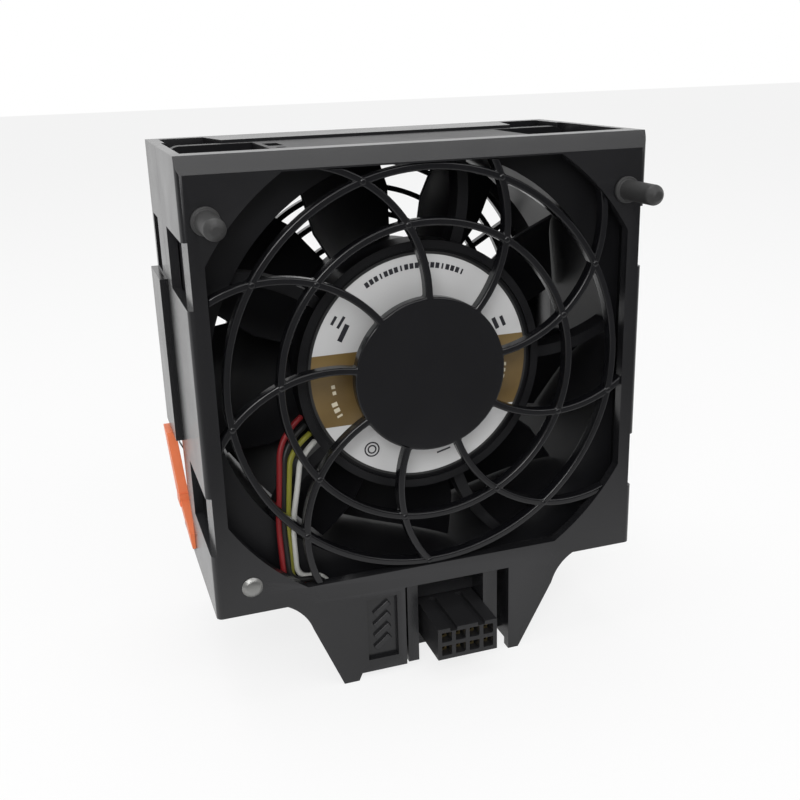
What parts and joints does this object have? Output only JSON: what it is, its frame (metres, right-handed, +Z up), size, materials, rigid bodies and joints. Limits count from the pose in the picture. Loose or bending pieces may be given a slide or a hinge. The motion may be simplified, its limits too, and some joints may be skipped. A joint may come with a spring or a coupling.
{
  "type": "server fan module",
  "caption": "Axial fan in a two-part black plastic housing with a bent-spoke front grille, docking connector tab and sprung orange release latch; it cools a rack server.",
  "frame": {"origin": "under the middle of the front face, at the height of the docking tab's feet", "axes": "+X to the right seen from the front, +Y from the front grille to the back along the fan axis, +Z up"},
  "size_m": [0.1305, 0.081, 0.149],
  "materials": {
    "housing_plastic": "moulded satin black, slight sheen",
    "grille_plastic": "moulded black with rounded glossy ribs",
    "fan_plastic": "moulded black glass-filled plastic",
    "impeller_plastic": "moulded black plastic",
    "label": "white foil with a gold-brown band",
    "tube_brass": "turned brass",
    "bearing_steel": "ground steel",
    "circuit_board": "green solder resist",
    "stator_steel": "stacked laminations",
    "copper_wire": "enamelled copper wire",
    "rivet_steel": "plated steel",
    "pin_rubber": "dark grey moulded",
    "connector_plastic": "black nylon",
    "contact_brass": "tinned brass",
    "lead_red": "insulation",
    "lead_black": "insulation",
    "lead_yellow": "insulation",
    "lead_white": "insulation",
    "spring_steel": "bright spring steel",
    "yoke_steel": "drawn steel",
    "magnet": "bonded ferrite",
    "latch_orange": "moulded orange"
  },
  "bodies": {
    "housing": {"front_housing": "housing_plastic", "rear_housing": "housing_plastic", "front_grille": "grille_plastic", "rear_guard": "grille_plastic", "fan_frame": "fan_plastic", "motor_label": "label", "bearing_tube": "tube_brass", "bearing_front": "bearing_steel", "bearing_rear": "bearing_steel", "circuit_board": "circuit_board", "stator_core": "stator_steel", "stator_windings": "copper_wire", "fan_rivet": "rivet_steel", "guide_pin_left": "pin_rubber", "guide_pin_right": "pin_rubber", "connector_housing": "connector_plastic", "connector_contacts": "contact_brass", "lead_red": "lead_red", "lead_black": "lead_black", "lead_yellow": "lead_yellow", "lead_white": "lead_white", "latch_pin": "spring_steel", "latch_spring": "spring_steel"},
    "rotor": {"impeller": "impeller_plastic", "rotor_yoke": "yoke_steel", "magnet_ring": "magnet", "shaft": "bearing_steel", "shaft_clip": "spring_steel", "preload_washer": "spring_steel"},
    "latch": {"release_latch": "latch_orange"}
  },
  "joints": [
    {"name": "rotor_spin", "type": "hinge", "parent": "housing", "child": "rotor", "pos_m": [0, 0.03, 0.0885], "axis": [0, 1, 0], "continuous": true},
    {"name": "latch_pivot", "type": "hinge", "parent": "housing", "child": "latch", "pos_m": [-0.0583, 0.0545, 0.042], "axis": [0, 1, 0], "range_deg": [0, 6], "stiffness_Nm_per_rad": 0.25, "springref_deg": -5.73, "deforming": ["latch_spring"]}
  ]
}
